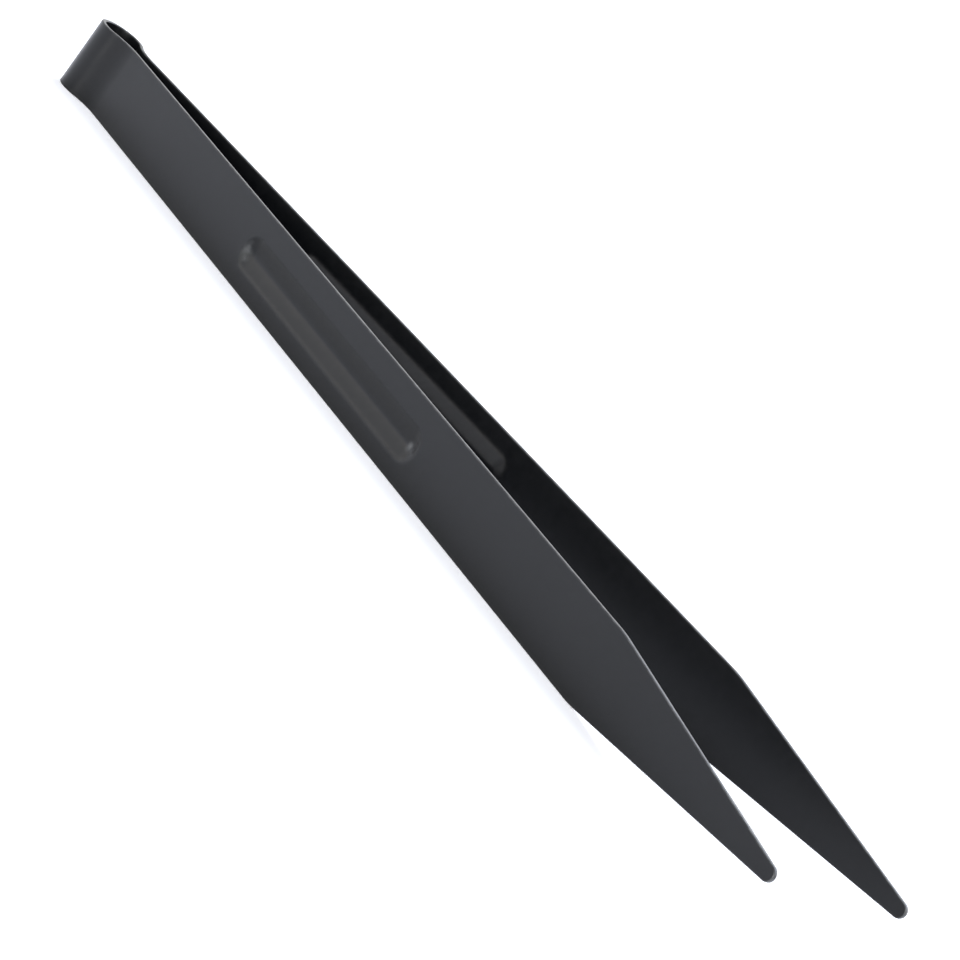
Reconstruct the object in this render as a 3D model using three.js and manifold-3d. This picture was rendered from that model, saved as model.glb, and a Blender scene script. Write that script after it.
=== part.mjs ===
// Precision tweezers, made from one strip of spring steel.
// The strip is folded at the head into an open keyhole bow. Its two legs run forward as straight
// splayed arms, each with a finger groove pressed in from outside, and end in tapered blades.
// The strip flexes in the bow and in the plain neck in front of it, so it is divided there.
//
// Units are millimetres. The tweezers stand on their long edges: +X runs from the head to the tips,
// +Y is the way the left arm opens, +Z is up across the strip's width. The origin is under the middle
// of the whole, on the surface that they stand on.
import * as THREE from 'three';
import { mergeVertices } from 'three/addons/utils/BufferGeometryUtils.js';
import Module from 'manifold-3d';

const wasm = await Module();
wasm.setup();

// The strip
const stripWidth = 10;
const stripThickness = 0.6;
const partingGap = 0.3;

// The bow: a round loop, joined to each arm by a reverse bend. Radii are those of the strip's middle.
const bowRadius = 3;
const reverseBendRadius = 7;

// The arms. Distances along an arm start beside the bow's centre.
const armSplay = THREE.MathUtils.degToRad(4.28);
const halfGapAtBow = 0.96;
const neckEnd = 34.8;

// The finger groove, a shallow round-bottomed trough with round ends. On the left leg it lies a little
// above the strip's middle, so on the right leg, which is the same leg turned over, it lies below.
const grooveStart = 46;
const grooveEnd = 91.3;
const grooveHalfWidth = 2.2;
const grooveDepth = 0.7;
const grooveLift = 0.35;

// The blade, which tapers from the shoulder and is set a little inwards there
const shoulder = 132;
const shoulderRadius = 18;
const bladeHalfAngle = THREE.MathUtils.degToRad(6.92);
const bladeSet = THREE.MathUtils.degToRad(1.16);
const tipRadius = 0.95;

// How finely curves are divided
const outlineSegments = 32;
const grooveCapSegments = 24;
const grooveRoundSegments = 96;

// What follows from the driving dimensions
const halfWidth = stripWidth / 2;
const halfThickness = stripThickness / 2;
const bendCentre = reverseBendCentre();
const neckStart = bendCentre.alongArm;
const bladeLength = halfWidth / Math.tan(bladeHalfAngle);
const tipCentre = shoulder + bladeLength - tipRadius / Math.sin(bladeHalfAngle);
const headEndX = -(bowRadius + halfThickness);
const middleX = (headEndX + tipEndX()) / 2;

// The reverse bend touches the arm's line and the bow's circle, and its centre lies outside both.
function reverseBendCentre() {
  const reach = bowRadius + reverseBendRadius;
  const offArm = halfGapAtBow * Math.cos(armSplay) + reverseBendRadius;
  const alongArm = Math.sqrt(reach ** 2 - offArm ** 2) - halfGapAtBow * Math.sin(armSplay);
  const centre = new THREE.Vector2(alongArm, reverseBendRadius);
  centre.rotateAround(new THREE.Vector2(), armSplay);
  centre.y += halfGapAtBow;
  return { alongArm, x: centre.x, y: centre.y, direction: centre.angle() };
}

// The foremost point of a tip: the end of its round, which is cut square to the arm, on the inner face.
function tipEndX() {
  const alongArm = tipCentre + tipRadius;
  const inwards = (alongArm - shoulder) * Math.tan(bladeSet) + halfThickness / Math.cos(bladeSet);
  return alongArm * Math.cos(armSplay) + inwards * Math.sin(armSplay);
}

function centredExtrusion(shape, depth) {
  const settings = { depth, bevelEnabled: false, curveSegments: outlineSegments };
  return new THREE.ExtrudeGeometry(shape, settings).translate(0, 0, -depth / 2);
}

function toSolid(geometry) {
  const bare = geometry.clone();
  bare.deleteAttribute('normal');
  bare.deleteAttribute('uv');
  const merged = mergeVertices(bare);
  const vertProperties = new Float32Array(merged.attributes.position.array);
  const triVerts = new Uint32Array(merged.index.array);
  return new wasm.Manifold(new wasm.Mesh({ numProp: 3, vertProperties, triVerts }));
}

function toGeometry(solid) {
  const mesh = solid.getMesh();
  const geometry = new THREE.BufferGeometry();
  geometry.setAttribute('position', new THREE.BufferAttribute(mesh.vertProperties, 3));
  geometry.setIndex(new THREE.BufferAttribute(mesh.triVerts, 1));
  geometry.computeVertexNormals();
  return geometry;
}

function blackCoat(shade) {
  return new THREE.MeshStandardMaterial({ color: shade, roughness: 0.5, metalness: 0.1 });
}

// The keyhole outline seen from above: the strip's outer side from the left leg round to the right leg,
// and its inner side back again.
function bowGeometry() {
  const { x, y, direction } = bendCentre;
  const outer = halfThickness;
  const legLeft = armSplay - Math.PI / 2;
  const bowLeft = direction - Math.PI;
  const outline = new THREE.Shape();
  outline.absarc(x, y, reverseBendRadius - outer, legLeft, bowLeft, true);
  outline.absarc(0, 0, bowRadius + outer, direction, 2 * Math.PI - direction, false);
  outline.absarc(x, -y, reverseBendRadius - outer, -bowLeft, -legLeft, true);
  outline.absarc(x, -y, reverseBendRadius + outer, -legLeft, -bowLeft, false);
  outline.absarc(0, 0, bowRadius - outer, 2 * Math.PI - direction, direction, true);
  outline.absarc(x, y, reverseBendRadius + outer, bowLeft, legLeft, false);
  return centredExtrusion(outline, stripWidth);
}

// The neck is a plain stretch of the flat strip.
function neckGeometry() {
  const start = neckStart + partingGap;
  const end = neckEnd - partingGap / 2;
  const leaf = new THREE.BoxGeometry(end - start, stripThickness, stripWidth);
  return leaf.translate((start + end) / 2, 0, 0);
}

// The arm and blade seen edge on: a flat sheet that turns inwards at the shoulder.
function sheetGeometry() {
  const bladeEnd = new THREE.Vector2(bladeLength, 0).rotateAround(new THREE.Vector2(), -bladeSet);
  const across = new THREE.Vector2(0, halfThickness).rotateAround(new THREE.Vector2(), -bladeSet);
  const turn = halfThickness * Math.tan(bladeSet / 2);
  const start = neckEnd + partingGap / 2;
  const outline = new THREE.Shape();
  outline.moveTo(start, -halfThickness);
  outline.lineTo(shoulder - turn, -halfThickness);
  outline.lineTo(shoulder + bladeEnd.x - across.x, bladeEnd.y - across.y);
  outline.lineTo(shoulder + bladeEnd.x + across.x, bladeEnd.y + across.y);
  outline.lineTo(shoulder + turn, halfThickness);
  outline.lineTo(start, halfThickness);
  return centredExtrusion(outline, stripWidth);
}

// The arm and blade seen square on: parallel to the shoulder, then a taper to the round tip.
function faceGeometry() {
  const roundStart = shoulder - shoulderRadius * Math.tan(bladeHalfAngle / 2);
  const roundCentre = halfWidth - shoulderRadius;
  const down = -Math.PI / 2;
  const outline = new THREE.Shape();
  outline.moveTo(neckStart, halfWidth);
  outline.lineTo(neckStart, -halfWidth);
  outline.absarc(roundStart, -roundCentre, shoulderRadius, down, down + bladeHalfAngle, false);
  outline.absarc(tipCentre, 0, tipRadius, down + bladeHalfAngle, -down - bladeHalfAngle, false);
  outline.absarc(roundStart, roundCentre, shoulderRadius, -down - bladeHalfAngle, -down, false);
  return centredExtrusion(outline, stripWidth).rotateX(Math.PI / 2);
}

// A long round-ended bar along the arm, whose side meets the sheet's outer face in the groove's outline.
function grooveBar(extraRadius) {
  const radius = (grooveHalfWidth ** 2 + grooveDepth ** 2) / (2 * grooveDepth);
  const straight = grooveEnd - grooveStart - 2 * grooveHalfWidth;
  const bar = new THREE.CapsuleGeometry(
    radius + extraRadius, straight, grooveCapSegments, grooveRoundSegments);
  const axisHeight = halfThickness - grooveDepth + radius;
  return bar.rotateZ(Math.PI / 2).translate((grooveStart + grooveEnd) / 2, axisHeight, grooveLift);
}

// The sheet's material is pressed inwards at its full thickness: a trough outside, a ridge inside.
function armGeometry() {
  const middle = (grooveStart + grooveEnd) / 2;
  const reach = grooveEnd - grooveStart;
  const innerSide = new THREE.BoxGeometry(reach, stripWidth, stripWidth);
  innerSide.translate(middle, -halfWidth, 0);
  const ridge = toSolid(grooveBar(stripThickness)).intersect(toSolid(innerSide));
  const sheet = toSolid(sheetGeometry()).intersect(toSolid(faceGeometry()));
  return toGeometry(sheet.add(ridge).subtract(toSolid(grooveBar(0))));
}

function namedMesh(name, geometry, shade) {
  const mesh = new THREE.Mesh(geometry, blackCoat(shade));
  mesh.name = name;
  return mesh;
}

// One leg of the tweezers, on the left. Half a turn about the long axis makes it the right one.
function leg(sideName, shade) {
  const splayed = new THREE.Group();
  splayed.position.y = halfGapAtBow;
  splayed.rotation.z = armSplay;
  splayed.add(namedMesh(`${sideName}_neck`, neckGeometry(), shade));
  splayed.add(namedMesh(`${sideName}_arm`, armGeometry(), shade));
  const side = new THREE.Group();
  side.add(splayed);
  return side;
}

const tweezers = new THREE.Group();
tweezers.position.set(-middleX, 0, halfWidth);
tweezers.add(namedMesh('spring_bow', bowGeometry(), '#26282a'));
tweezers.add(leg('left', '#242628'));
const rightLeg = leg('right', '#242628');
rightLeg.rotation.x = Math.PI;
tweezers.add(rightLeg);

export default tweezers;
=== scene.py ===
"""Precision tweezers: the finished looks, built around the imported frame.

The whole tool is one strip of spring steel. Its centre line starts at the head, runs half round the
bow, through a reverse bend and along a straight arm to the blade's tip. The other leg is the same leg,
turned over. Every visible piece is a stretch of that strip, and the stretches meet flush where it flexes.
Lengths here are in millimetres along that line until a mesh is made, which is in metres.
"""

import math

import bmesh
import bpy
import numpy as np
from mathutils import Matrix, Vector


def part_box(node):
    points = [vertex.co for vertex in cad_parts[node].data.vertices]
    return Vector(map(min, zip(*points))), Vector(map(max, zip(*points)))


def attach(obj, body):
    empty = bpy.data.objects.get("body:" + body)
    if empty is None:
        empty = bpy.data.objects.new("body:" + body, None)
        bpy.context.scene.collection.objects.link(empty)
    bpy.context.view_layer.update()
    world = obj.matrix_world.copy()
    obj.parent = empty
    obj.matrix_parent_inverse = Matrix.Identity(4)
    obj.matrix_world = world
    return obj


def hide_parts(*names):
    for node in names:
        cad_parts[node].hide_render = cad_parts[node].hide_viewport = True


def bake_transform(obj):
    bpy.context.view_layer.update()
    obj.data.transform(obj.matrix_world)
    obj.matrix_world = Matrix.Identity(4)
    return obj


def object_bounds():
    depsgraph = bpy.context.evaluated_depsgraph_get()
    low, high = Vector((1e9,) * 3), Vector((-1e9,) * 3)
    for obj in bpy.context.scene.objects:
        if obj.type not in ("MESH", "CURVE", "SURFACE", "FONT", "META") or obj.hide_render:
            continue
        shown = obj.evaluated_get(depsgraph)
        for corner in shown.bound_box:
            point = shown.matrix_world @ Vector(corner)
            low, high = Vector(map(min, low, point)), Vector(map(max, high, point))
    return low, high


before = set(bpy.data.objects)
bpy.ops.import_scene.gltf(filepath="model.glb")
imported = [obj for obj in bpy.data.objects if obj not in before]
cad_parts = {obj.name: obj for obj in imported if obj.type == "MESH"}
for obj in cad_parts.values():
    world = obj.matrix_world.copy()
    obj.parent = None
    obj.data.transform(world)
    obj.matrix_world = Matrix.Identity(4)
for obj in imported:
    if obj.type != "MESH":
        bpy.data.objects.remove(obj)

CAD_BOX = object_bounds()
MM = 0.001

# The strip. Its width and thickness are the CAD's; its edges are rounded here, and their coat is painted
# paler: partly rubbed coat, partly a painted highlight along them.
STRIP_WIDTH = (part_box("spring_bow")[1].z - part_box("spring_bow")[0].z) / MM
STRIP_THICKNESS = 0.6
EDGE_RADIUS = 0.13
# Share of pale colour on the edges: rubbed coat and a painted highlight
EDGE_WEAR_AND_HIGHLIGHT = 0.35
HALF_WIDTH = STRIP_WIDTH / 2
HALF_THICKNESS = STRIP_THICKNESS / 2

# The centre line: the bow's loop, its reverse bend, the splayed arm and the inset blade
BOW_RADIUS = 3.0
REVERSE_BEND_RADIUS = 7.0
ARM_SPLAY = math.radians(4.28)
HALF_GAP_AT_BOW = 0.96
NECK_END = 34.8
SHOULDER = 132.0
SHOULDER_RADIUS = 18.0
BLADE_HALF_ANGLE = math.radians(6.92)
BLADE_SET = math.radians(1.16)
BLADE_SET_LENGTH = 8.0
TIP_RADIUS = 0.95
PARTING_GAP = 0.3
BOW_CENTRE_X = CAD_BOX[0].x / MM + BOW_RADIUS + HALF_THICKNESS

# The pressed finger groove and the ridge that it raises inside. Heights are from the strip's middle, on
# the left leg; the right leg is the same leg turned over. Pairs are for the head end and the front end
# of the groove, or for its lower and upper half. The nib's place is a distance and a height.
GROOVE_START = 46.0
GROOVE_END = 91.3
GROOVE_HALF_WIDTH = 2.3
RIDGE_HALF_WIDTH = 2.5
GROOVE_DEPTH = 0.75
GROOVE_LIFT = 0.25
GROOVE_VALLEY_RISE = (0.1, 0.45)
GROOVE_RIM_SOFTNESS = (0.12, 0.26)
GROOVE_RIM_CHANGE = (-0.5, 0.5)
GROOVE_BOTTOM_ROUND = 0.25
GROOVE_END_RAMPS = (1.5, 1.8)
GROOVE_END_BLEND = 0.3
NIB_PLACE = (89.25, 0.52)
NIB_HEIGHT = 0.12
NIB_RADIUS = 0.4
# A painted highlight: the coat painted paler in a crescent inside the groove's head-end rim
PAINTED_RIM_HIGHLIGHT = 0.25
PAINTED_RIM_HIGHLIGHT_HEIGHTS = (-0.4, 0.8)
PAINTED_RIM_HIGHLIGHT_REACH = (0.3, 0.8)
PAINTED_RIM_HIGHLIGHT_LOWEST = -1.1
PAINTED_RIM_HIGHLIGHT_FADE = 2.5
PAINTED_RIM_HIGHLIGHT_CUT = 0.3

# Half the length of the stretch round each joint, which sets where the pieces meet
BOW_FLEX = 3.5
LEAF_FLEX = 10.0

# How finely the strip is divided. The lanes run along a face: half width of the fine middle band,
# fine step and coarse step.
PLAIN_LANES = (2.6, 0.65, 0.8)
GROOVE_LANES = (3.2, 0.1, 0.45)
LANE_MARGIN = 0.05
EDGE_SEGMENTS = 4
SHOULDER_SEGMENTS = 8
TAPER_SEGMENTS = 29
TIP_SEGMENTS = 15
LOOP_STEP = 0.1
BEND_STEP = 0.2
GROOVE_END_STEP = 0.1
GROOVE_END_MARGIN = 0.5
BLADE_SET_STEP = 0.5
ROOM_FOR_SHOULDER_ROUND = 1.5
NECK_STEP = 1.5
ARM_STEP = 1.0
GROOVE_STEP = 1.5
PLAIN_ARM_STEP = 3.0

# Points nearer than this are one point and edges shorter than this go, in metres. Edges that turn more
# than the sharp angle are shaded sharp.
MERGE_DISTANCE = 1e-8
SHORTEST_EDGE = 1e-9
SHARP_ANGLE = math.radians(60)


# ---------------------------------------------------------------- the strip's centre line

def reverse_bend_places():
    """Where along the arm the reverse bend ends, and the direction of its centre from the bow's."""
    reach = BOW_RADIUS + REVERSE_BEND_RADIUS
    off_arm = HALF_GAP_AT_BOW * math.cos(ARM_SPLAY) + REVERSE_BEND_RADIUS
    along = math.sqrt(reach**2 - off_arm**2) - HALF_GAP_AT_BOW * math.sin(ARM_SPLAY)
    x = along * math.cos(ARM_SPLAY) - REVERSE_BEND_RADIUS * math.sin(ARM_SPLAY)
    y = HALF_GAP_AT_BOW + along * math.sin(ARM_SPLAY) + REVERSE_BEND_RADIUS * math.cos(ARM_SPLAY)
    return along, math.atan2(y, x)


NECK_START, BEND_DIRECTION = reverse_bend_places()
REVERSE_BEND_LENGTH = REVERSE_BEND_RADIUS * (math.pi / 2 + ARM_SPLAY - BEND_DIRECTION)
BOW_END = NECK_START - REVERSE_BEND_LENGTH
HEAD = BOW_END - BOW_RADIUS * (math.pi - BEND_DIRECTION)
TIP_CENTRE = SHOULDER + HALF_WIDTH / math.tan(BLADE_HALF_ANGLE) - TIP_RADIUS / math.sin(BLADE_HALF_ANGLE)

# Each stretch of the line: where it starts, and its curvature (1/mm, positive turning left)
STRETCHES = [
    (HEAD, -1 / BOW_RADIUS),
    (BOW_END, 1 / REVERSE_BEND_RADIUS),
    (NECK_START, 0.0),
    (SHOULDER - BLADE_SET_LENGTH / 2, -BLADE_SET / BLADE_SET_LENGTH),
    (SHOULDER + BLADE_SET_LENGTH / 2, 0.0),
]


def along_stretch(point, heading, length, curvature):
    """The places and headings after each length along an arc or a straight line."""
    turned = heading + curvature * length
    if curvature == 0.0:
        steps = np.stack([np.cos(heading) * length, np.sin(heading) * length], -1)
    else:
        steps = np.stack([np.sin(turned) - np.sin(heading), np.cos(heading) - np.cos(turned)], -1)
        steps /= curvature
    return point + steps, turned


def centre_line(distance):
    """Plan points and outward normals of the left leg's middle surface at the distances, in mm."""
    distance = np.asarray(distance, float)
    points = np.zeros(distance.shape + (2,))
    headings = np.zeros(distance.shape)
    point, heading = np.array([BOW_CENTRE_X - BOW_RADIUS, 0.0]), math.pi / 2
    for i, (start, curvature) in enumerate(STRETCHES):
        last = i == len(STRETCHES) - 1
        end = math.inf if last else STRETCHES[i + 1][0]
        inside = (distance < end) & ((distance >= start) | (i == 0))
        places, turned = along_stretch(point, heading, distance[inside] - start, curvature)
        points[inside], headings[inside] = places, turned
        if not last:
            point, heading = along_stretch(point, heading, np.float64(end - start), curvature)
    return points, np.stack([-np.sin(headings), np.cos(headings)], -1)


# ---------------------------------------------------------------- the strip's outline

def parallel_outline(distances):
    """Stations where the strip is parallel: (distance, half height, turn of the edge's normal)."""
    return [(s, HALF_WIDTH, 0.0) for s in distances]


def blade_outline():
    """Stations from the shoulder's round to the very tip, where the half height ends at 0."""
    round_start = SHOULDER - SHOULDER_RADIUS * math.tan(BLADE_HALF_ANGLE / 2)
    round_centre = HALF_WIDTH - SHOULDER_RADIUS
    stations = []
    for turn in np.linspace(0, BLADE_HALF_ANGLE, SHOULDER_SEGMENTS + 1):
        s = round_start + SHOULDER_RADIUS * math.sin(turn)
        stations.append((s, round_centre + SHOULDER_RADIUS * math.cos(turn), turn))
    taper_start, taper_height, _ = stations[-1]
    taper_end = TIP_CENTRE + TIP_RADIUS * math.sin(BLADE_HALF_ANGLE)
    for s in np.linspace(taper_start, taper_end, TAPER_SEGMENTS + 1)[1:-1]:
        height = taper_height - (s - taper_start) * math.tan(BLADE_HALF_ANGLE)
        stations.append((s, height, BLADE_HALF_ANGLE))
    for turn in np.linspace(BLADE_HALF_ANGLE, math.pi / 2, TIP_SEGMENTS + 1):
        stations.append((TIP_CENTRE + TIP_RADIUS * math.sin(turn), TIP_RADIUS * math.cos(turn), turn))
    return stations


def spaced(start, end, step):
    """Evenly spaced distances from start to end, no further apart than step."""
    return list(np.linspace(start, end, max(2, math.ceil(abs(end - start) / step) + 1)))


# ---------------------------------------------------------------- the strip's section

def face_lanes(fine_half_width, fine_step, coarse_step):
    """Heights of the lines along a flat face, as shares of its half height, fine in the middle."""
    flat = HALF_WIDTH - EDGE_RADIUS
    middle = spaced(-fine_half_width, fine_half_width, fine_step)
    upper = spaced(fine_half_width, flat - LANE_MARGIN, coarse_step)[1:] + [flat]
    heights = [-z for z in reversed(upper)] + middle + upper
    return [z / flat for z in heights]


def section(shares):
    """The lines round the strip's section: (share of height, inset, outward offset, worn edge)."""
    arc = np.linspace(0, math.pi / 2, EDGE_SEGMENTS + 1)[1:-1]
    flat_offset = HALF_THICKNESS - EDGE_RADIUS
    lines = [(f, EDGE_RADIUS, HALF_THICKNESS, 0.0) for f in shares]
    round_lines = [(EDGE_RADIUS * (1 - math.sin(a)), flat_offset + EDGE_RADIUS * math.cos(a)) for a in arc]
    wall = [(0.0, flat_offset), (0.0, 0.0), (0.0, -flat_offset)]
    lines += [(1.0, inset, offset, EDGE_WEAR_AND_HIGHLIGHT) for inset, offset in round_lines + wall]
    lines += [(1.0, inset, -offset, EDGE_WEAR_AND_HIGHLIGHT) for inset, offset in reversed(round_lines)]
    lines += [(f, EDGE_RADIUS, -HALF_THICKNESS, 0.0) for f in reversed(shares)]
    lines += [(-1.0, inset, -offset, EDGE_WEAR_AND_HIGHLIGHT) for inset, offset in round_lines]
    lines += [(-1.0, 0.0, -offset, EDGE_WEAR_AND_HIGHLIGHT) for _, offset in wall]
    lines += [(-1.0, inset, offset, EDGE_WEAR_AND_HIGHLIGHT) for inset, offset in reversed(round_lines)]
    return np.array(lines)


# ---------------------------------------------------------------- the pressed groove

def soft_ramp(value, softness):
    """Zero below 0, value above it, joined by a smooth curve."""
    blend = np.clip(softness - np.abs(value), 0, None) / softness
    return np.maximum(value, 0) + blend**2 * softness / 4


def soft_least(a, b, softness):
    """The smaller of two values, joined by a smooth curve."""
    return a - soft_ramp(a - b, softness)


def pressed_depth(distance, z, half_width):
    """How far the sheet is pressed inwards: two plane flanks, a round bottom between and ramped ends."""
    height = z - GROOVE_LIFT
    valley = np.interp(distance, (GROOVE_START, GROOVE_END), GROOVE_VALLEY_RISE)
    from_valley = (height - valley) / (half_width - np.sign(height - valley) * valley)
    bottom = GROOVE_BOTTOM_ROUND
    flank = 1 + bottom - np.hypot(from_valley, bottom)
    ends = GROOVE_START + half_width, GROOVE_END - half_width
    off_line = np.hypot(distance - np.clip(distance, *ends), height)
    end_ramp = np.interp(distance, (GROOVE_START, GROOVE_END), GROOVE_END_RAMPS)
    end_wall = (half_width - off_line) / end_ramp
    softness = np.interp(height, GROOVE_RIM_CHANGE, GROOVE_RIM_SOFTNESS)
    return GROOVE_DEPTH * soft_ramp(soft_least(flank, end_wall, GROOVE_END_BLEND), softness)


def painted_rim_highlight(distance, z):
    """A painted highlight at the groove's head end: how far the coat is painted paler there, in a
    crescent, wider above.
    """
    centre = GROOVE_START + GROOVE_HALF_WIDTH
    inside_rim = GROOVE_HALF_WIDTH - np.hypot(distance - centre, z - GROOVE_LIFT)
    reach = np.interp(z, PAINTED_RIM_HIGHLIGHT_HEIGHTS, PAINTED_RIM_HIGHLIGHT_REACH)
    towards_head = np.clip((centre - distance) / GROOVE_HALF_WIDTH, 0, 1)
    head_fade = np.clip(PAINTED_RIM_HIGHLIGHT_FADE * towards_head - PAINTED_RIM_HIGHLIGHT_CUT, 0, 1)
    lower_fade = np.clip(z - PAINTED_RIM_HIGHLIGHT_LOWEST, 0, 1)
    return PAINTED_RIM_HIGHLIGHT * np.exp(-((inside_rim / reach - 1) ** 2)) * head_fade * lower_fade


def nib_height(distance, z):
    """A small drop of coating that dried at the groove's front end."""
    off_centre = np.hypot(distance - NIB_PLACE[0], z - NIB_PLACE[1])
    return NIB_HEIGHT * np.exp(-((off_centre / NIB_RADIUS) ** 2))


# ---------------------------------------------------------------- making a piece

def station_points(stations, lines, nib):
    """Every line at every station: an array (stations, lines, 4) of x, y, z in mm and the share of pale
    colour, which is edge wear and painted highlights.
    """
    s, height, turn = (np.array(column)[:, None] for column in zip(*stations))
    share, inset, offset, edge_wear_and_highlight = lines.T
    distance = s - inset * np.sin(turn)
    z = share * (height - inset * np.cos(turn))
    on_face = np.isclose(np.abs(offset), HALF_THICKNESS)
    half_width = np.where(offset > 0, GROOVE_HALF_WIDTH, RIDGE_HALF_WIDTH)
    pressed = np.where(on_face, pressed_depth(distance, z, half_width), 0.0)
    raised = np.where(on_face & (offset > 0), nib_height(distance, z), 0.0) if nib else 0.0
    points, outward = centre_line(distance)
    plan = points + outward * (offset - pressed + raised)[..., None]
    # The painted highlight at the groove's head end
    wear_and_highlight_share = np.where(on_face & (offset > 0), painted_rim_highlight(distance, z), 0.0)
    # The pale share: edge wear with its painted highlight, the rim's painted highlight and a painted
    # highlight on the nib's top
    wear_and_highlight = np.maximum(edge_wear_and_highlight, wear_and_highlight_share + raised / NIB_HEIGHT)
    return np.concatenate([plan, (z + HALF_WIDTH)[..., None], wear_and_highlight[..., None]], -1)


def strip_mesh(name, grids):
    """A closed mesh through grids from station_points, with its ends capped."""
    points = np.concatenate(grids)
    rows, columns = points.shape[:2]
    vertices = (points[..., :3] * MM).reshape(-1, 3)
    corner = np.arange(rows * columns).reshape(rows, columns)
    beside = np.roll(corner, -1, 1)
    quads = np.stack([corner[:-1], beside[:-1], beside[1:], corner[1:]], -1)
    faces = quads.reshape(-1, 4).tolist() + [corner[0][::-1].tolist(), corner[-1].tolist()]
    mesh = bpy.data.meshes.new(name)
    mesh.from_pydata(vertices.tolist(), [], faces)
    wear_and_highlight_attribute = mesh.attributes.new("pale_wear_and_highlight", "FLOAT", "POINT")
    wear_and_highlight_attribute.data.foreach_set("value", points[..., 3].ravel().astype(np.float32))
    return mesh


def finish_mesh(mesh):
    """Merges the points that meet at a tip, faces everything outwards and shades it smooth."""
    work = bmesh.new()
    work.from_mesh(mesh)
    bmesh.ops.remove_doubles(work, verts=work.verts, dist=MERGE_DISTANCE)
    bmesh.ops.dissolve_degenerate(work, edges=work.edges, dist=SHORTEST_EDGE)
    bmesh.ops.recalc_face_normals(work, faces=work.faces)
    work.to_mesh(mesh)
    work.free()
    mesh.shade_smooth()
    mesh.set_sharp_from_angle(angle=SHARP_ANGLE)


def mirrored(points):
    """The same points on the other side of the middle plane."""
    return points * np.array([1.0, -1.0, 1.0, 1.0])


def turned_over(points):
    """The same points on the right leg: half a turn about the long axis at mid-height."""
    return points * np.array([1.0, -1.0, -1.0, 1.0]) + np.array([0.0, 0.0, STRIP_WIDTH, 0.0])


def add_piece(name, grids, cad_node, material):
    """A stretch of the strip as an object that stands for its CAD node."""
    mesh = strip_mesh(name, grids)
    finish_mesh(mesh)
    mesh.materials.append(material)
    piece = bpy.data.objects.new(name, mesh)
    bpy.context.scene.collection.objects.link(piece)
    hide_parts(cad_node)
    return piece


def flex_ends(joint_distance, half_length, side):
    """The two points on the strip between which a joint's turn is spread, in metres."""
    points, _ = centre_line([joint_distance, joint_distance + half_length])
    along = (points[1] - points[0]) / np.linalg.norm(points[1] - points[0])
    ends = [points[0] - along * half_length, points[0] + along * half_length]
    return [Vector((x, side * y, HALF_WIDTH)) * MM for x, y in ends]


BOW_JOINT = NECK_START + PARTING_GAP / 2
LEAF_JOINT = NECK_END
BOW_SEAM = BOW_JOINT - BOW_FLEX
LEAF_SEAM = LEAF_JOINT - LEAF_FLEX
SIDES = {"left": 1, "right": -1}


def add_bow(material):
    """The loop and the roots of its reverse bends, from seam to seam round the head."""
    lines = section(face_lanes(*PLAIN_LANES))
    distances = spaced(HEAD, BOW_END, LOOP_STEP)[1:] + spaced(BOW_END, BOW_SEAM, BEND_STEP)[1:]
    left = station_points(parallel_outline(distances), lines, nib=False)
    head = station_points(parallel_outline([HEAD]), lines, nib=False)
    bow = add_piece("bow_strip", [mirrored(left)[::-1], head, left], "spring_bow", material)
    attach(bow, "bow")


def add_neck(side_name, material):
    """The flexing leaf between the bow and the arm."""
    side = SIDES[side_name]
    lines = section(face_lanes(*PLAIN_LANES))
    bend_end = BOW_JOINT + BOW_FLEX
    distances = spaced(BOW_SEAM, bend_end, BEND_STEP) + spaced(bend_end, LEAF_SEAM, NECK_STEP)[1:]
    points = station_points(parallel_outline(distances), lines, nib=False)
    points = points if side > 0 else turned_over(points)
    body = f"{side_name}_neck"
    neck = add_piece(f"{body}_strip", [points], body, material)
    start, end = flex_ends(BOW_JOINT, BOW_FLEX, side)
    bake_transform(neck)


def arm_distances():
    """Stations of the arm's parallel part, close together at the groove's round ends."""
    margin, round_end = GROOVE_END_MARGIN, GROOVE_HALF_WIDTH + GROOVE_END_MARGIN
    set_start = SHOULDER - BLADE_SET_LENGTH / 2
    return (
        spaced(LEAF_SEAM, GROOVE_START - margin, ARM_STEP)
        + spaced(GROOVE_START - margin, GROOVE_START + round_end, GROOVE_END_STEP)[1:]
        + spaced(GROOVE_START + round_end, GROOVE_END - round_end, GROOVE_STEP)[1:]
        + spaced(GROOVE_END - round_end, GROOVE_END + margin, GROOVE_END_STEP)[1:]
        + spaced(GROOVE_END + margin, set_start, PLAIN_ARM_STEP)[1:]
        + spaced(set_start, SHOULDER - ROOM_FOR_SHOULDER_ROUND, BLADE_SET_STEP)[1:]
    )


def add_arm(side_name, material):
    """The arm with its pressed groove, shoulder, blade and rounded tip."""
    side = SIDES[side_name]
    lines = section(face_lanes(*GROOVE_LANES))
    stations = parallel_outline(arm_distances()) + blade_outline()
    points = station_points(stations, lines, nib=side_name == "right")
    points = points if side > 0 else turned_over(points)
    body = f"{side_name}_arm"
    arm = add_piece(f"{body}_strip", [points], body, material)
    start, end = flex_ends(LEAF_JOINT, LEAF_FLEX, side)
    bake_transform(arm)


# ---------------------------------------------------------------- materials

# The coat. Scales are in features per metre.
COAT_DARK = (0.0008, 0.0010, 0.0014)
COAT_PALE = (0.0018, 0.0020, 0.0026)
COAT_SPECULAR = 0.268
COAT_ROUGHNESS = (0.28, 0.36)
MOTTLE_SCALE = 160
ROUGHNESS_SCALE = 1400
PEEL_SCALE = 5000
PEEL_STRENGTH = 0.12
PEEL_HEIGHT = 0.00002
DUST_COLOUR = (0.09, 0.09, 0.095)
DUST_SCALE = 330
DUST_SIZE = 0.018
DUST_RARITY = 0.80
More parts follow.
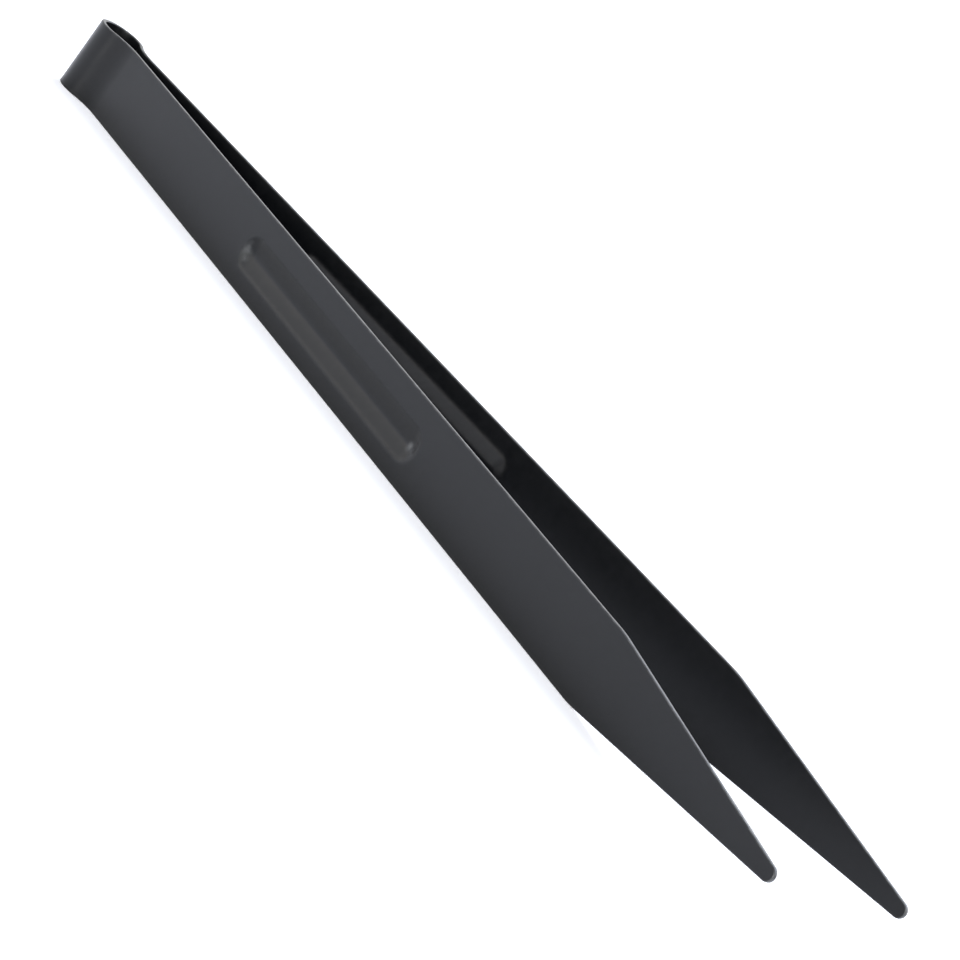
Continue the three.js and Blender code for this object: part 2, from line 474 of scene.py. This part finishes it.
# The pale colour: rubbed coat on the edges, which also paints their highlight, and painted highlights at
# the groove's head-end rim and on the nib
WEAR_AND_HIGHLIGHT_COLOUR = (0.16, 0.165, 0.163)
WEAR_AND_HIGHLIGHT_SCALE = 900
WEAR_AND_HIGHLIGHT_SHARES = (0.25, 1.0)

# The middle of a noise texture's range, which is stretched to the range that is wanted
NOISE_MIDDLE = (0.3, 0.7)
WEAR_AND_HIGHLIGHT_NOISE_MIDDLE = (0.35, 0.7)


def new_material(name):
    """A node material with its nodes, its links and its shader."""
    material = bpy.data.materials.new(name)
    material.use_nodes = True
    nodes, links = material.node_tree.nodes, material.node_tree.links
    return material, nodes, links, nodes["Principled BSDF"]


def noise(nodes, links, coordinates, scale, detail):
    """A noise texture in object space; scale is in features per metre."""
    texture = nodes.new("ShaderNodeTexNoise")
    texture.inputs["Scale"].default_value = scale
    texture.inputs["Detail"].default_value = detail
    links.new(coordinates, texture.inputs["Vector"])
    return texture.outputs["Fac"]


def remap(nodes, links, value, low, high, to_low, to_high):
    """The value stretched from one range to another, clamped."""
    node = nodes.new("ShaderNodeMapRange")
    for socket, number in zip(("From Min", "From Max", "To Min", "To Max"), (low, high, to_low, to_high)):
        node.inputs[socket].default_value = number
    links.new(value, node.inputs["Value"])
    return node.outputs["Result"]


def mix_colour(nodes, links, factor, colour_a, colour_b):
    """A mix of two colours, each a tuple or a socket."""
    node = nodes.new("ShaderNodeMix")
    node.data_type = "RGBA"
    links.new(factor, node.inputs["Factor"])
    for socket, colour in (("A", colour_a), ("B", colour_b)):
        target = next(s for s in node.inputs if s.name == socket and s.type == "RGBA")
        if isinstance(colour, tuple):
            target.default_value = (*colour, 1.0)
        else:
            links.new(colour, target)
    return next(s for s in node.outputs if s.type == "RGBA")


def maths(nodes, links, operation, a, b):
    """One arithmetic step on two values, each a number or a socket."""
    node = nodes.new("ShaderNodeMath")
    node.operation = operation
    for socket, value in zip(node.inputs, (a, b)):
        if isinstance(value, (int, float)):
            socket.default_value = value
        else:
            links.new(value, socket)
    return node.outputs["Value"]


def black_coated_steel():
    """Satin black coating: a faint mottle, fine orange peel, dust specks, edges rubbed paler that also
    paint their highlight, and painted highlights at the groove's rim and nib.
    """
    material, nodes, links, shader = new_material("black_coated_steel")
    place = nodes.new("ShaderNodeTexCoord").outputs["Object"]

    mottle = noise(nodes, links, place, MOTTLE_SCALE, 3)
    coat = mix_colour(nodes, links, mottle, COAT_DARK, COAT_PALE)

    cells = nodes.new("ShaderNodeTexVoronoi")
    cells.inputs["Scale"].default_value = DUST_SCALE
    links.new(place, cells.inputs["Vector"])
    speck = maths(nodes, links, "LESS_THAN", cells.outputs["Distance"], DUST_SIZE)
    rare = maths(nodes, links, "GREATER_THAN", cells.outputs["Color"], DUST_RARITY)
    dusty = maths(nodes, links, "MULTIPLY", speck, rare)
    coat = mix_colour(nodes, links, dusty, coat, DUST_COLOUR)

    # Painted paler where the mesh says: rubbed edges that also carry a painted highlight, and painted
    # highlights at the groove's rim and the nib's top
    edge = nodes.new("ShaderNodeAttribute")
    edge.attribute_name = "pale_wear_and_highlight"
    wear_and_highlight_noise = noise(nodes, links, place, WEAR_AND_HIGHLIGHT_SCALE, 4)
    wear_and_highlight_patches = remap(nodes, links, wear_and_highlight_noise, *WEAR_AND_HIGHLIGHT_NOISE_MIDDLE, *WEAR_AND_HIGHLIGHT_SHARES)
    wear_and_highlight_share = maths(nodes, links, "MULTIPLY", edge.outputs["Fac"], wear_and_highlight_patches)
    colour = mix_colour(nodes, links, wear_and_highlight_share, coat, WEAR_AND_HIGHLIGHT_COLOUR)
    links.new(colour, shader.inputs["Base Color"])

    grain = noise(nodes, links, place, ROUGHNESS_SCALE, 5)
    roughness = remap(nodes, links, grain, *NOISE_MIDDLE, *COAT_ROUGHNESS)
    links.new(roughness, shader.inputs["Roughness"])
    shader.inputs["Metallic"].default_value = 0.0
    shader.inputs["Specular IOR Level"].default_value = COAT_SPECULAR

    bump = nodes.new("ShaderNodeBump")
    bump.inputs["Strength"].default_value = PEEL_STRENGTH
    bump.inputs["Distance"].default_value = PEEL_HEIGHT
    links.new(noise(nodes, links, place, PEEL_SCALE, 2), bump.inputs["Height"])
    links.new(bump.outputs["Normal"], shader.inputs["Normal"])
    return material


# ---------------------------------------------------------------- floor, light and camera

# The floor, in metres, and the tent's walls and roof
FLOOR_GLOW = 0.3
FLOOR_TONES = (0.86, 0.9)
FLOOR_SCALE = 4
FLOOR_ROUGHNESS = 0.9
FLOOR_DROP = 0.00002
FLOOR_HALF_SIZE = 6.0
WALL_BRIGHTNESS = 1.85
ROOF_BRIGHTNESS = 0.4
WALL_COLOUR = (1.01, 1.0, 0.995)
ROOF_COLOUR = (0.9, 0.96, 1.12)
ROOF_FADE = (0.25, 0.55)

# Panels of light, and a dark one that takes light away:
# (azimuth from the front towards +X, elevation), half angle, brightness; degrees
PANELS = [
    ((36, 10), 24, 14.0),
    ((175, 45), 40, 5.0),
    ((-47, 16), 34, 0.8),
    ((-90, 15), 30, -1.0),
]

# The camera. Its lens and sensor are in millimetres, its place in metres.
CAMERA_AZIMUTH = math.radians(39.11)
CAMERA_ELEVATION = math.radians(13.58)
CAMERA_ROLL = math.radians(37.55)
CAMERA_DISTANCE = 0.3934
CAMERA_AIM = Vector((0.01307, 0.0, 0.00586))
CAMERA_LENS = 127.95
CAMERA_SENSOR = 36.0
CAMERA_CLIP = (0.01, 50.0)


def lit_floor():
    """Pale acrylic table, faintly lit from below so that shadows stay weak."""
    material, nodes, links, shader = new_material("pale_floor")
    place = nodes.new("ShaderNodeTexCoord").outputs["Object"]
    cloud = noise(nodes, links, place, FLOOR_SCALE, 2)
    tone = remap(nodes, links, cloud, *NOISE_MIDDLE, *FLOOR_TONES)
    links.new(tone, shader.inputs["Base Color"])
    shader.inputs["Roughness"].default_value = FLOOR_ROUGHNESS
    shader.inputs["Specular IOR Level"].default_value = 0.0
    shader.inputs["Emission Color"].default_value = (1.0, 1.0, 1.0, 1.0)
    shader.inputs["Emission Strength"].default_value = FLOOR_GLOW
    return material


def add_floor():
    """A wide flat sheet at the height that the tweezers stand on."""
    size = FLOOR_HALF_SIZE
    corners = [(-size, -size, 0), (size, -size, 0), (size, size, 0), (-size, size, 0)]
    mesh = bpy.data.meshes.new("floor")
    mesh.from_pydata(corners, [], [(0, 1, 2, 3)])
    mesh.materials.append(lit_floor())
    floor = bpy.data.objects.new("floor", mesh)
    floor.location.z = CAD_BOX[0].z - FLOOR_DROP
    bpy.context.scene.collection.objects.link(floor)


def direction_from(azimuth, elevation):
    """The unit direction at an azimuth from the front (-Y) towards +X, and an elevation, in degrees."""
    turn, rise = math.radians(azimuth), math.radians(elevation)
    return math.sin(turn) * math.cos(rise), -math.cos(turn) * math.cos(rise), math.sin(rise)


def soft_panel(nodes, links, direction, towards, half_angle, brightness):
    """A round patch of the tent, bright or dark, that fades out at half_angle from its middle."""
    dot = nodes.new("ShaderNodeVectorMath")
    dot.operation = "DOT_PRODUCT"
    links.new(direction, dot.inputs[0])
    dot.inputs[1].default_value = direction_from(*towards)
    rim, core = math.cos(math.radians(half_angle)), math.cos(math.radians(half_angle / 2))
    return remap(nodes, links, dot.outputs["Value"], rim, core, 0.0, brightness)


def add_light():
    """A white tent with brighter walls, lit by the panels."""
    world = bpy.data.worlds.new("light_tent")
    world.use_nodes = True
    nodes, links = world.node_tree.nodes, world.node_tree.links
    background = nodes["Background"]
    direction = nodes.new("ShaderNodeTexCoord").outputs["Generated"]
    split = nodes.new("ShaderNodeSeparateXYZ")
    links.new(direction, split.inputs["Vector"])
    height = remap(nodes, links, split.outputs["Z"], *ROOF_FADE, 0.0, 1.0)
    links.new(mix_colour(nodes, links, height, WALL_COLOUR, ROOF_COLOUR), background.inputs["Color"])
    light = remap(nodes, links, height, 0.0, 1.0, WALL_BRIGHTNESS, ROOF_BRIGHTNESS)
    for towards, half_angle, brightness in PANELS:
        panel = soft_panel(nodes, links, direction, towards, half_angle, brightness)
        light = maths(nodes, links, "ADD", light, panel)
    links.new(maths(nodes, links, "MAXIMUM", light, 0.0), background.inputs["Strength"])
    bpy.context.scene.world = world


def add_camera():
    """The camera, rolled so that the tweezers run from top left to bottom right."""
    back = Vector((
        math.sin(CAMERA_AZIMUTH) * math.cos(CAMERA_ELEVATION),
        -math.cos(CAMERA_AZIMUTH) * math.cos(CAMERA_ELEVATION),
        math.sin(CAMERA_ELEVATION),
    ))
    level_right = Vector((0, 0, 1)).cross(back).normalized()
    level_up = back.cross(level_right)
    right = level_right * math.cos(CAMERA_ROLL) + level_up * math.sin(CAMERA_ROLL)
    up = back.cross(right)
    data = bpy.data.cameras.new("camera")
    data.lens = CAMERA_LENS
    data.sensor_width = CAMERA_SENSOR
    data.clip_start, data.clip_end = CAMERA_CLIP
    camera = bpy.data.objects.new("camera", data)
    turn = Matrix((right, up, back)).transposed().to_4x4()
    camera.matrix_world = Matrix.Translation(CAMERA_AIM + back * CAMERA_DISTANCE) @ turn
    bpy.context.scene.collection.objects.link(camera)
    bpy.context.scene.camera = camera


def main():
    """Builds everything, in the same order each time."""
    add_camera()
    add_light()
    add_floor()
    coat = black_coated_steel()
    add_bow(coat)
    for side_name in SIDES:
        add_neck(side_name, coat)
        add_arm(side_name, coat)
    bpy.context.scene.view_settings.view_transform = "Standard"


main()
